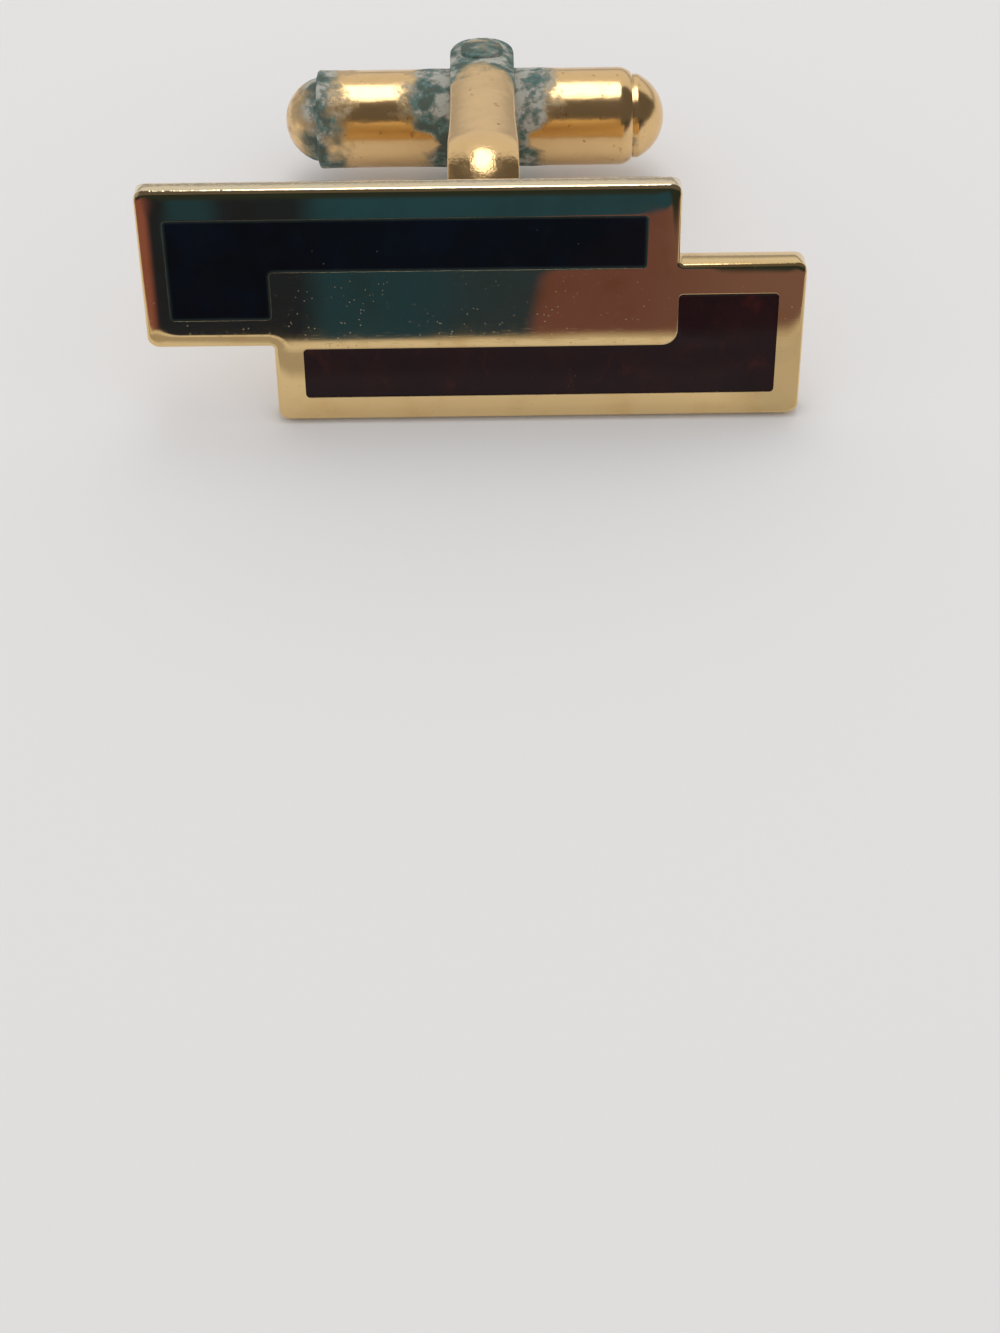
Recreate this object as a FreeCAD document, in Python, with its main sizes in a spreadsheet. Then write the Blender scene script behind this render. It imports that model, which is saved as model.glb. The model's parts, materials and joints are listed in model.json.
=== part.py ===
import FreeCAD, Part
import Sketcher
import math
import os

# Cufflink: a stepped gold plate with two enamel cells, and a toggle that swivels in a forked yoke behind it.
# Each piece is drawn upright in a frame of its own, X along the plate's long side, Y from the face to the
# back and Z up the face. The whole link then leans back until it rests as it lies on a table.
# All sizes are in millimetres.
sizes_mm = {
    # The face is the union of two equal panels, the lower one shifted to the right and down.
    "panel_width": 21.0,
    "panel_height": 6.8,
    "panel_shift": 5.0,
    "panel_drop": 3.4,
    "plate_thickness": 1.15,
    "outline_corner_radius": 0.5,
    "outline_notch_radius": 0.15,
    "face_edge_radius": 0.2,
    "back_edge_chamfer": 0.12,
    # Each enamel cell is an L inside its panel, a border's width from the outline. The borders beside the
    # L's leg and at the end of its bar are not quite the same.
    "cell_border": 1.15,
    "navy_leg_border": 1.0,
    "navy_bar_border": 1.27,
    "maroon_leg_border": 1.02,
    "maroon_bar_border": 1.15,
    "cell_depth": 0.5,
    "cell_corner_radius": 0.18,
    "overlap_corner_radius": 0.65,
    "enamel_sink": 0.05,
    # The yoke stands on the back of the plate, a little off the plate's centre.
    "post_right": 0.4,
    "post_rise": 1.0,
    "foot_diameter": 4.0,
    "foot_thickness": 0.35,
    "stem_diameter": 2.6,
    "stem_length": 3.05,
    "stem_root": 0.2,
    "arm_width": 2.72,
    "arm_thickness": 0.92,
    "arm_crown": 0.35,
    "arm_tip_reach": 1.38,
    "arm_tip_corner_radius": 0.6,
    "arm_play": 0.1,
    "swing_room": 1.65,
    # The rivet through both arms is the toggle's axle.
    "rivet_diameter": 1.2,
    "rivet_fit": 0.02,
    "rivet_flat_width": 0.9,
    "rivet_flat_length": 2.4,
    "head_diameter": 1.8,
    "head_wall": 0.32,
    "head_dome": 0.12,
    "seat_depth": 0.16,
    "seat_play": 0.06,
    # The toggle is a tube closed by two domed plugs.
    "tube_length": 13.7,
    "tube_diameter": 4.2,
    "tube_wall": 0.4,
    "tube_rim_radius": 0.3,
    "tube_offset": 0.35,
    "pivot_play": 0.05,
    "dome_diameter": 3.6,
    "dome_reach": 1.45,
    "plug_length": 1.5,
    # A bowed leaf spring lies on each side of the rivet inside the tube.
    "leaf_thickness": 0.2,
    "leaf_width": 2.0,
    "leaf_gap": 0.02,
    "leaf_end_play": 0.3,
}

full_turn = 360.0
flat_count = 4
# Two places closer than this are the same place.
slack = 1e-4

doc = FreeCAD.newDocument("cufflink")


class Size:
    """A length with its value and the formula on the sheet's cells that gives it."""

    def __init__(self, value, formula):
        self.value = value
        self.formula = formula

    @staticmethod
    def of(number):
        return number if isinstance(number, Size) else Size(float(number), repr(float(number)))

    def __add__(self, other):
        other = Size.of(other)
        return Size(self.value + other.value, f"({self.formula} + {other.formula})")

    def __sub__(self, other):
        other = Size.of(other)
        return Size(self.value - other.value, f"({self.formula} - {other.formula})")

    def __mul__(self, other):
        other = Size.of(other)
        return Size(self.value * other.value, f"{self.formula} * {other.formula}")

    def __truediv__(self, other):
        other = Size.of(other)
        return Size(self.value / other.value, f"{self.formula} / ({other.formula})")

    def __neg__(self):
        return Size(-self.value, f"(-1 * {self.formula})")

    def root(self):
        return Size(math.sqrt(self.value), f"sqrt({self.formula})")


def fill_sheet():
    """The sheet of driving dimensions, one named cell for each."""
    sheet = doc.addObject("Spreadsheet::Sheet", "sizes")
    for row, (name, value) in enumerate(sizes_mm.items(), start=1):
        sheet.set(f"A{row}", name)
        sheet.set(f"B{row}", str(value))
        sheet.setAlias(f"B{row}", name)
    doc.recompute()
    return sheet


sheet = fill_sheet()


def size(name):
    return Size(float(sheet.get(name)), f"sizes.{name}")


zero = Size.of(0)

# Places that several pieces share.
half_wide = (size("panel_width") + size("panel_shift")) / 2
half_tall = (size("panel_height") + size("panel_drop")) / 2
half_overlap = (size("panel_width") - size("panel_shift")) / 2
half_band = (size("panel_height") - size("panel_drop")) / 2
tube_radius = size("tube_diameter") / 2
bore_radius = tube_radius - size("tube_wall")
half_tube = size("tube_length") / 2
arm_half = size("arm_width") / 2
fork_inside = tube_radius + size("arm_play")
fork_outside = fork_inside + size("arm_thickness")
toggle_long_side = half_tube + size("tube_offset") + size("dome_reach")
arm_reach = toggle_long_side + size("swing_room") - fork_inside
rivet_radius = size("rivet_diameter") / 2
flat_half = size("rivet_flat_width") / 2
head_radius = size("head_diameter") / 2
head_seat = fork_outside - size("seat_depth")
foot_radius = size("foot_diameter") / 2
foot_back = -(arm_reach + fork_outside + size("stem_length"))


def arc_radius(half_chord, rise):
    """Radius of the arc that rises so far over half a chord."""
    return (half_chord * half_chord + rise * rise) / (rise * 2)


def bind(thing, prop, length):
    thing.setExpression(prop, length.formula)


def draw(body, name, plane, corners, arcs=None, closed=True, raised=None):
    """A sketch on one of the body's own planes, through corners given as pairs of sizes.

    arcs maps the number of a side to (axis, centre, way): the arc's centre along one sketch axis, and
    whether the side turns left (1) or right (-1). The sketch may be raised along the plane's normal."""
    arcs = arcs or {}
    sketch = body.newObject("Sketcher::SketchObject", name)
    support = [part for part in body.Origin.OriginFeatures if part.Role == plane]
    sketch.AttachmentSupport = [(support[0], "")]
    sketch.MapMode = "FlatFace"
    if raised is not None:
        bind(sketch, "AttachmentOffset.Base.z", raised)
    sides = len(corners) if closed else len(corners) - 1
    first_points = []
    last_points = []
    for side in range(sides):
        start = FreeCAD.Vector(corners[side][0].value, corners[side][1].value)
        end_corner = corners[(side + 1) % len(corners)]
        end = FreeCAD.Vector(end_corner[0].value, end_corner[1].value)
        if side in arcs:
            axis, centre, way = arcs[side]
            middle = arc_centre(start, end, axis, centre.value)
            circle = Part.Circle(middle, FreeCAD.Vector(0, 0, 1), (start - middle).Length)
            ends = (start, end) if way > 0 else (end, start)
            low, high = [math.atan2(point.y - middle.y, point.x - middle.x) for point in ends]
            edge = sketch.addGeometry(Part.ArcOfCircle(circle, low, high if high > low else high + math.tau))
            first_points.append((edge, 1 if way > 0 else 2))
            last_points.append((edge, 2 if way > 0 else 1))
            hold(sketch, "Distance" + axis, (edge, 3), centre)
        else:
            edge = sketch.addGeometry(Part.LineSegment(start, end))
            first_points.append((edge, 1))
            last_points.append((edge, 2))
    for side in range(sides if closed else sides - 1):
        following = first_points[(side + 1) % sides]
        sketch.addConstraint(Sketcher.Constraint("Coincident", *last_points[side], *following))
    places = first_points if closed else first_points + last_points[-1:]
    for place, (across, along) in zip(places, corners):
        hold(sketch, "DistanceX", place, across)
        hold(sketch, "DistanceY", place, along)
    return sketch


def hold(sketch, kind, place, length):
    """Holds a point of the sketch at a distance from the sketch's origin."""
    row = sketch.addConstraint(Sketcher.Constraint(kind, -1, 1, *place, length.value))
    bind(sketch, f"Constraints[{row}]", length)


def arc_centre(start, end, axis, known):
    """The point on the chord's perpendicular bisector whose coordinate on one axis is known."""
    chord = end - start
    middle = (start + end) * 0.5
    if axis == "X":
        return FreeCAD.Vector(known, middle.y - chord.x * (known - middle.x) / chord.y)
    return FreeCAD.Vector(middle.x - chord.y * (known - middle.y) / chord.x, known)


def draw_circle(body, name, plane, radius):
    """A circle about the origin of one of the body's own planes."""
    sketch = body.newObject("Sketcher::SketchObject", name)
    support = [part for part in body.Origin.OriginFeatures if part.Role == plane]
    sketch.AttachmentSupport = [(support[0], "")]
    sketch.MapMode = "FlatFace"
    edge = sketch.addGeometry(Part.Circle(FreeCAD.Vector(0, 0), FreeCAD.Vector(0, 0, 1), radius.value))
    sketch.addConstraint(Sketcher.Constraint("Coincident", edge, 3, -1, 1))
    row = sketch.addConstraint(Sketcher.Constraint("Radius", edge, radius.value))
    bind(sketch, f"Constraints[{row}]", radius)
    return sketch


def new_body(label):
    body = doc.addObject("PartDesign::Body", label)
    body.Label = label
    return body


def add(body, kind, name, profile, length=None, **settings):
    """A feature made from a sketch, recomputed so that the next one can read its edges."""
    feature = body.newObject("PartDesign::" + kind, name)
    feature.Profile = profile
    for prop, value in settings.items():
        setattr(feature, prop, value)
    if length is not None:
        bind(feature, "Length", length)
    doc.recompute()
    return feature


def turn(body, kind, name, profile, axis):
    """A full revolution or groove of a sketch about one of its own axes."""
    return add(body, kind, name, profile, ReferenceAxis=(profile, [axis]), Angle=full_turn)


def round_edges(body, name, feature, chosen, radius):
    """Rounds the edges of a feature that the test picks."""
    return dress_edges(body, "Fillet", name, feature, chosen, "Radius", radius)


def chamfer_edges(body, name, feature, chosen, length):
    """Breaks the edges of a feature that the test picks."""
    return dress_edges(body, "Chamfer", name, feature, chosen, "Size", length)


def dress_edges(body, kind, name, feature, chosen, prop, length):
    names = [f"Edge{row}" for row, edge in enumerate(feature.Shape.Edges, start=1) if chosen(edge)]
    dressed = body.newObject("PartDesign::" + kind, name)
    dressed.Base = (feature, names)
    bind(dressed, prop, length)
    doc.recompute()
    return dressed


def runs_through(corners):
    """Picks the straight edges square to the face that pass one of these corners."""
    def chosen(edge):
        low, high = edge.BoundBox.YMin, edge.BoundBox.YMax
        middle = edge.BoundBox.Center
        thin = edge.BoundBox.XLength + edge.BoundBox.ZLength < slack
        near = [abs(middle.x - x.value) + abs(middle.z - z.value) < slack for x, z in corners]
        return thin and high - low > slack and any(near)
    return chosen


def at_depth(depth):
    """Picks the edges that lie flat at one depth behind the face."""
    return lambda edge: max(abs(edge.BoundBox.YMin - depth), abs(edge.BoundBox.YMax - depth)) < slack


def cell_corners(side):
    """The L of an enamel cell: side 1 for the upper left panel, -1 for the lower right one."""
    colour = "navy" if side > 0 else "maroon"
    border = size("cell_border")
    leg = size(colour + "_leg_border")
    bar = size(colour + "_bar_border")
    upper_left = [
        (leg - half_wide, border - half_band),
        (-half_overlap, border - half_band),
        (-half_overlap, half_band),
        (half_overlap - bar, half_band),
        (half_overlap - bar, half_tall - border),
        (leg - half_wide, half_tall - border),
    ]
    return upper_left if side > 0 else [(-x, -z) for x, z in upper_left]


def round_cell(body, name, feature, side):
    """Rounds the corners of a cell, or of its enamel. The lower cell's inner corner has a wider round."""
    corners = cell_corners(side)
    inner = corners[2:3]
    if side > 0:
        return round_edges(body, name, feature, runs_through(corners), size("cell_corner_radius"))
    outer = corners[:2] + corners[3:]
    rounded = round_edges(body, name, feature, runs_through(outer), size("cell_corner_radius"))
    return round_edges(body, name + "_inner", rounded, runs_through(inner), size("overlap_corner_radius"))


def make_face_plate():
    """The stepped plate, its edges rounded by polishing, with the two cells cut into its face."""
    body = new_body("face_plate")
    corners = [
        (-half_wide, half_tall),
        (half_overlap, half_tall),
        (half_wide, half_band),
        (half_wide, -half_tall),
        (-half_overlap, -half_tall),
        (-half_wide, -half_band),
    ]
    notches = [(half_overlap, half_band), (-half_overlap, -half_band)]
    outline = corners[:2] + notches[:1] + corners[2:5] + notches[1:] + corners[5:]
    sketch = draw(body, "outline", "XZ_Plane", outline)
    plate = add(body, "Pad", "plate", sketch, size("plate_thickness"), Reversed=True)
    plate = round_edges(body, "corners", plate, runs_through(corners), size("outline_corner_radius"))
    plate = round_edges(body, "notches", plate, runs_through(notches), size("outline_notch_radius"))
    plate = round_edges(body, "face_edge", plate, at_depth(0.0), size("face_edge_radius"))
    thickness = size("plate_thickness")
    plate = chamfer_edges(body, "back_edge", plate, at_depth(thickness.value), size("back_edge_chamfer"))
    for name, side in (("navy_cell", 1), ("maroon_cell", -1)):
        sketch = draw(body, name + "_outline", "XZ_Plane", cell_corners(side))
        cell = add(body, "Pocket", name, sketch, size("cell_depth"))
        round_cell(body, name + "_corners", cell, side)
    return body


def make_enamel(label, side):
    """Glassy fill of one cell, from its floor to just below the face."""
    body = new_body(label)
    depth = size("cell_depth") - size("enamel_sink")
    sketch = draw(body, label + "_outline", "XZ_Plane", cell_corners(side), raised=-size("cell_depth"))
    fill = add(body, "Pad", label + "_fill", sketch, depth)
    round_cell(body, label + "_corners", fill, side)
    return body


def make_yoke():
    """Stem and fork in one piece, about the pivot: a half-round strip bent to a U on a flared stem."""
    body = new_body("yoke")
    tip = size("arm_tip_reach")
    edge_thickness = size("arm_thickness") - size("arm_crown")
    shoulder = fork_inside + edge_thickness
    crown_centre = fork_outside - arc_radius(arm_half, size("arm_crown"))
    section = draw(body, "arm_section", "XZ_Plane", [
        (-arm_half, fork_inside),
        (arm_half, fork_inside),
        (arm_half, shoulder),
        (-arm_half, shoulder),
    ], arcs={2: ("Y", crown_centre, 1)}, raised=-tip)
    path = draw(body, "fork_line", "YZ_Plane", [
        (tip, fork_inside),
        (-arm_reach, fork_inside),
        (-arm_reach, -fork_inside),
        (tip, -fork_inside),
    ], arcs={1: ("X", -arm_reach, 1)}, closed=False)
    fork = add(body, "AdditivePipe", "fork", section, Spine=path)

    def tip_corner(edge):
        thin = edge.BoundBox.XLength + edge.BoundBox.YLength < slack
        return thin and abs(edge.BoundBox.YMin - tip.value) < slack

    round_edges(body, "tip_corners", fork, tip_corner, size("arm_tip_corner_radius"))

    stem_radius = size("stem_diameter") / 2
    foot_front = foot_back + size("foot_thickness")
    stem_end = -(arm_reach + fork_inside + size("stem_root"))
    stem = draw(body, "stem_outline", "XY_Plane", [
        (zero, foot_back),
        (foot_radius, foot_back),
        (foot_radius, foot_front),
        (stem_radius, foot_front + foot_radius - stem_radius),
        (stem_radius, stem_end),
        (zero, stem_end),
    ])
    turn(body, "Revolution", "stem", stem, "V_Axis")

    hole_radius = rivet_radius + size("rivet_fit")
    seat_radius = head_radius + size("seat_play")
    beyond = fork_outside + size("arm_thickness")
    bore = draw(body, "rivet_hole_outline", "XZ_Plane", [
        (zero, -beyond),
        (seat_radius, -beyond),
        (seat_radius, -head_seat),
        (hole_radius, -head_seat),
        (hole_radius, head_seat),
        (seat_radius, head_seat),
        (seat_radius, beyond),
        (zero, beyond),
    ])
    turn(body, "Groove", "rivet_holes", bore, "V_Axis")
    return body


def make_solder_fillet():
    """Ring of solder in the corner between the stem's foot and the plate, about the pivot like the yoke."""
    body = new_body("solder_fillet")
    leg = size("foot_thickness")
    ring = draw(body, "solder_outline", "XY_Plane", [
        (foot_radius, foot_back),
        (foot_radius + leg, foot_back),
        (foot_radius, foot_back + leg),
    ])
    turn(body, "Revolution", "solder_ring", ring, "V_Axis")
    return body


def make_pivot_rivet():
    """Axle with a domed head on each arm, and four flats on its middle for the springs."""
    body = new_body("pivot_rivet")
    wall_top = head_seat + size("head_wall")
    apex = wall_top + size("head_dome")
    outline = draw(body, "rivet_outline", "XZ_Plane", [
        (zero, -apex),
        (head_radius, -wall_top),
        (head_radius, -head_seat),
        (rivet_radius, -head_seat),
        (rivet_radius, head_seat),
        (head_radius, head_seat),
        (head_radius, wall_top),
        (zero, apex),
    ], arcs={0: ("X", zero, 1), 6: ("X", zero, 1)})
    turn(body, "Revolution", "rivet", outline, "V_Axis")
    wide = size("rivet_diameter")
    flat = draw(body, "flat_outline", "XY_Plane", [
        (flat_half, -wide),
        (wide, -wide),
        (wide, wide),
        (flat_half, wide),
    ])
    cut = add(body, "Pocket", "flat", flat, size("rivet_flat_length"), SideType="Symmetric")
    flats = body.newObject("PartDesign::PolarPattern", "flats")
    flats.Originals = [cut]
    flats.Axis = (outline, ["V_Axis"])
    flats.Angle = full_turn
    flats.Occurrences = flat_count
    body.Tip = flats
    doc.recompute()
    return body


def make_toggle_tube():
    """Tube with rolled rims and a running hole for the rivet, about the pivot."""
    body = new_body("toggle_tube")
    left = -(half_tube + size("tube_offset"))
    right = half_tube - size("tube_offset")
    wall = draw(body, "tube_wall_outline", "XY_Plane", [
        (left, bore_radius),
        (right, bore_radius),
        (right, tube_radius),
        (left, tube_radius),
    ])
    tube = turn(body, "Revolution", "tube", wall, "H_Axis")

    def rim(edge):
        across = edge.BoundBox.YLength - 2 * tube_radius.value
        return edge.BoundBox.XLength < slack and abs(across) < slack

    round_edges(body, "rolled_rims", tube, rim, size("tube_rim_radius"))
    hole = draw_circle(body, "pivot_hole_outline", "XY_Plane", rivet_radius + size("pivot_play"))
    add(body, "Pocket", "pivot_holes", hole, Type="ThroughAll", SideType="Symmetric")
    return body


def make_end_cap(label, side):
    """Plug with a domed end that seats on the tube's rim: side -1 for the left end, 1 for the right."""
    body = new_body(label)
    rim = half_tube - size("tube_offset") * side
    dome_radius = size("dome_diameter") / 2
    outline = [
        (rim - size("plug_length"), zero),
        (rim + size("dome_reach"), zero),
        (rim, dome_radius),
        (rim, bore_radius),
        (rim - size("plug_length"), bore_radius),
    ]
    if side < 0:
        outline = [(-along, out) for along, out in outline]
    cap = draw(body, label + "_outline", "XY_Plane", outline, arcs={1: ("Y", zero, side)})
    turn(body, "Revolution", label + "_form", cap, "H_Axis")
    return body


def make_leaf_spring(label, side):
    """Leaf bowed from the tube's wall to the rivet's flat: side -1 for the front leaf, 1 for the rear."""
    body = new_body(label)
    half_leaf = half_tube - size("tube_offset") - size("plug_length") - size("leaf_end_play")
    half_width = size("leaf_width") / 2
    wall = (bore_radius * bore_radius - half_width * half_width).root() - size("leaf_gap")
    middle = flat_half + size("leaf_gap")
    end = wall - size("leaf_thickness")
    bow = arc_radius(half_leaf, end - middle)
    outline = [
        (half_leaf, end),
        (half_leaf, wall),
        (-half_leaf, wall),
        (-half_leaf, end),
    ]
    inner_centre = middle + bow
    outer_centre = inner_centre + size("leaf_thickness")
    if side < 0:
        outline = [(along, -out) for along, out in outline]
        inner_centre = -inner_centre
        outer_centre = -outer_centre
    strip = draw(body, label + "_outline", "XY_Plane", outline, arcs={
        1: ("Y", outer_centre, -side),
        3: ("Y", inner_centre, side),
    })
    add(body, "Pad", label + "_strip", strip, size("leaf_width"), SideType="Symmetric")
    return body


def resting_lean():
    """Angle at which the plate's lower back edge and the rivet's lower head both touch the table.

    Seen from the side, the table is the line through the edge that touches the circle of the head's dome."""
    dome_radius = arc_radius(head_radius, size("head_dome")).value
    edge_y = (size("plate_thickness") - size("back_edge_chamfer")).value
    apex = (head_seat + size("head_wall") + size("head_dome")).value
    back = (size("plate_thickness") - foot_back).value - edge_y
    up = size("post_rise").value - apex + dome_radius + half_tall.value
    return math.atan2(up, back) - math.asin(dome_radius / math.hypot(up, back))


def stand_on_table(bodies):
    """Puts every piece in its place, leans the link back and moves its box's bottom centre to the origin."""
    pivot = FreeCAD.Vector(
        size("post_right").value,
        (size("plate_thickness") - foot_back).value,
        size("post_rise").value,
    )
    about_face = FreeCAD.Placement()
    about_pivot = FreeCAD.Placement(pivot, FreeCAD.Rotation())
    lean = FreeCAD.Rotation(FreeCAD.Vector(1, 0, 0), -math.degrees(resting_lean()))
    leaning = FreeCAD.Placement(FreeCAD.Vector(), lean)
    on_face = ("face_plate", "navy_enamel", "maroon_enamel")
    for body in bodies:
        body.Placement = leaning * (about_face if body.Label in on_face else about_pivot)
    box = Part.makeCompound([body.Shape for body in bodies]).optimalBoundingBox(False)
    bottom_centre = FreeCAD.Vector(box.Center.x, box.Center.y, box.ZMin)
    for body in bodies:
        body.Placement = FreeCAD.Placement(-bottom_centre, FreeCAD.Rotation()) * body.Placement
    doc.recompute()


def check(bodies):
    """Stops if any feature failed or any piece is not one sound solid."""
    for thing in doc.Objects:
        if "Invalid" in thing.State or "Error" in thing.State:
            raise RuntimeError(f"{thing.Name} failed: {thing.State}")
    for body in bodies:
        if body.Shape.isNull() or not body.Shape.isValid():
            raise RuntimeError(f"{body.Label} has no sound shape")
        if len(body.Shape.Solids) != 1:
            raise RuntimeError(f"{body.Label} is not one solid")


bodies = [
    make_face_plate(),
    make_enamel("navy_enamel", 1),
    make_enamel("maroon_enamel", -1),
    make_solder_fillet(),
    make_yoke(),
    make_pivot_rivet(),
    make_toggle_tube(),
    make_end_cap("left_end_cap", -1),
    make_end_cap("right_end_cap", 1),
    make_leaf_spring("front_leaf_spring", -1),
    make_leaf_spring("rear_leaf_spring", 1),
]
stand_on_table(bodies)
check(bodies)
os.makedirs("parts", exist_ok=True)
for body in bodies:
    body.Shape.exportStep(os.path.join("parts", body.Label + ".step"))
    print(f"{body.Label}: {body.Shape.Volume:.3f} cubic mm")
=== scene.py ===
import json
import math

import bmesh
import bpy
from mathutils import Matrix, Vector, noise


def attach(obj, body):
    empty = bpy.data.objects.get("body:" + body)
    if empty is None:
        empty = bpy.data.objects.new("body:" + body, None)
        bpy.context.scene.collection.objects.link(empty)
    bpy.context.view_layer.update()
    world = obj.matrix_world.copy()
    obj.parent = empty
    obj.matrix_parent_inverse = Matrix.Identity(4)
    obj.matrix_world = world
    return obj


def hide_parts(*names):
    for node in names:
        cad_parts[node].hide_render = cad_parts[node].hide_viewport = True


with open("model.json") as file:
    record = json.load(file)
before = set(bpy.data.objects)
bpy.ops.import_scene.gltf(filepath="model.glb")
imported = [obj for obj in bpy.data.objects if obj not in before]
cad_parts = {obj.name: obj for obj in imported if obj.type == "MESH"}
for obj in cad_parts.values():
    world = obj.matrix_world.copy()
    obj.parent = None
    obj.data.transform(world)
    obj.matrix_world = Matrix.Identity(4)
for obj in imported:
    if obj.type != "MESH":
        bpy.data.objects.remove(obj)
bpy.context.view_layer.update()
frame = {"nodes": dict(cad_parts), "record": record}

mm = 0.001
xAxis, yAxis, zAxis = Vector((1, 0, 0)), Vector((0, 1, 0)), Vector((0, 0, 1))
quarterTurn = math.radians(90)
weld = 1e-4  # points of a drawing that lie nearer than this are one
cornerSteps = 8  # of each rounded corner in an outline

# Pieces are drawn upright in millimetres, about the middle of the face or about the pivot, then laid back
swivel = frame["record"]["behaviour"]["joints"][0]
faceMount = [mount for mount in frame["record"]["mounts"] if mount["name"] == "front_face"][0]
pivotSpot = Vector(swivel["pos_m"])
faceSpot = Vector(faceMount["pos_m"])
lean = math.atan2(swivel["axis"][1], swivel["axis"][2])  # the link rests tipped back on the table
layBack = Matrix.Rotation(-lean, 4, "X") @ Matrix.Scale(mm, 4)
facePlace = Matrix.Translation(faceSpot) @ layBack
pivotPlace = Matrix.Translation(pivotSpot) @ layBack
print("frame loaded, lean", round(math.degrees(lean), 2))


# Shader wires

class Wire:  # a socket that takes part in sums
    def __init__(self, bench, socket):
        self.bench = bench
        self.socket = socket

    def maths(self, operation, *values):
        return self.bench.node("ShaderNodeMath", {"operation": operation}, dict(enumerate(values)))

    def __add__(self, other):
        return self.maths("ADD", self, other)

    def __radd__(self, other):
        return self.maths("ADD", other, self)

    def __sub__(self, other):
        return self.maths("SUBTRACT", self, other)

    def __rsub__(self, other):
        return self.maths("SUBTRACT", other, self)

    def __mul__(self, other):
        return self.maths("MULTIPLY", self, other)

    def __rmul__(self, other):
        return self.maths("MULTIPLY", other, self)

    def most(self, other):
        return self.maths("MAXIMUM", self, other)

    def ramp(self, low, high, start=0.0, end=1.0):  # soft step from one value to another
        sockets = {"Value": self, "From Min": low, "From Max": high, "To Min": start, "To Max": end}
        return self.bench.node("ShaderNodeMapRange", {"interpolation_type": "SMOOTHSTEP"}, sockets)

    def out(self, name):  # another output of the same node
        return Wire(self.bench, self.socket.node.outputs[name])


class Bench:  # the node tree of one material, or of the world
    def __init__(self, tree):
        self.tree = tree
        tree.nodes.clear()

    def node(self, kind, settings=None, sockets=None, output=0):
        made = self.tree.nodes.new(kind)
        for key, value in (settings or {}).items():
            if key == "stops":
                while len(made.color_ramp.elements) < len(value):
                    made.color_ramp.elements.new(0.5)
                for element, (place, colour) in zip(made.color_ramp.elements, value):
                    element.position = place
                    element.color = colour
            else:
                setattr(made, key, value)
        for key, value in (sockets or {}).items():
            if isinstance(value, Wire):
                self.tree.links.new(value.socket, made.inputs[key])
            else:
                made.inputs[key].default_value = value
        return Wire(self, made.outputs[output]) if made.outputs else made

    def spot(self, origin):  # millimetres about the face or the pivot, on the piece at rest
        place = self.node("ShaderNodeTexCoord", output="Object")
        sockets = {"Vector": place, "Location": origin, "Rotation": (-lean, 0, 0), "Scale": (mm, mm, mm)}
        return self.node("ShaderNodeMapping", {"vector_type": "TEXTURE"}, sockets)

    def tableSpot(self):  # millimetres on the stage, as X, Y and Z
        place = self.node("ShaderNodeTexCoord", output="Object")
        return self.split(self.stretch(place, (1 / mm, 1 / mm, 1 / mm)))

    def split(self, spot):  # a wire of X, with Y and Z as further outputs
        return self.node("ShaderNodeSeparateXYZ", None, {"Vector": spot})

    def stretch(self, spot, scale, turn=(0, 0, 0)):
        return self.node("ShaderNodeMapping", None, {"Vector": spot, "Scale": scale, "Rotation": turn})

    def attribute(self, name):
        return self.node("ShaderNodeAttribute", {"attribute_name": name}, output="Fac")

    def noise(self, spot, scale, detail=3.0, roughness=0.5, bend=0.0):
        sockets = {"Vector": spot, "Scale": scale, "Detail": detail, "Roughness": roughness, "Distortion": bend}
        return self.node("ShaderNodeTexNoise", None, sockets)

    def specks(self, spot, scale, size):
        return 1 - self.node("ShaderNodeTexVoronoi", None, {"Vector": spot, "Scale": scale}).ramp(*size)

    def mix(self, factor, first, second):
        return self.node("ShaderNodeMix", {"data_type": "RGBA"}, {0: factor, 6: first, 7: second}, output=2)

    def bump(self, height, distance, strength=1.0, normal=None):
        sockets = {"Height": height, "Distance": distance * mm, "Strength": strength}
        if normal:
            sockets["Normal"] = normal
        return self.node("ShaderNodeBump", None, sockets)

    def glow(self, tone):
        return self.node("ShaderNodeEmission", None, {"Color": tone, "Strength": 1.0})

    def finish(self, shader):
        self.node("ShaderNodeOutputMaterial", None, {"Surface": shader})

    def surface(self, sockets):
        self.finish(self.node("ShaderNodeBsdfPrincipled", None, sockets))


def newMaterial(name):
    material = bpy.data.materials.new(name)
    material.use_nodes = True
    return material, Bench(material.node_tree)


def rgb(red, green, blue):
    return (red, green, blue, 1)


# Finishes: a range is where a soft step starts and ends, lengths are in millimetres

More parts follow.
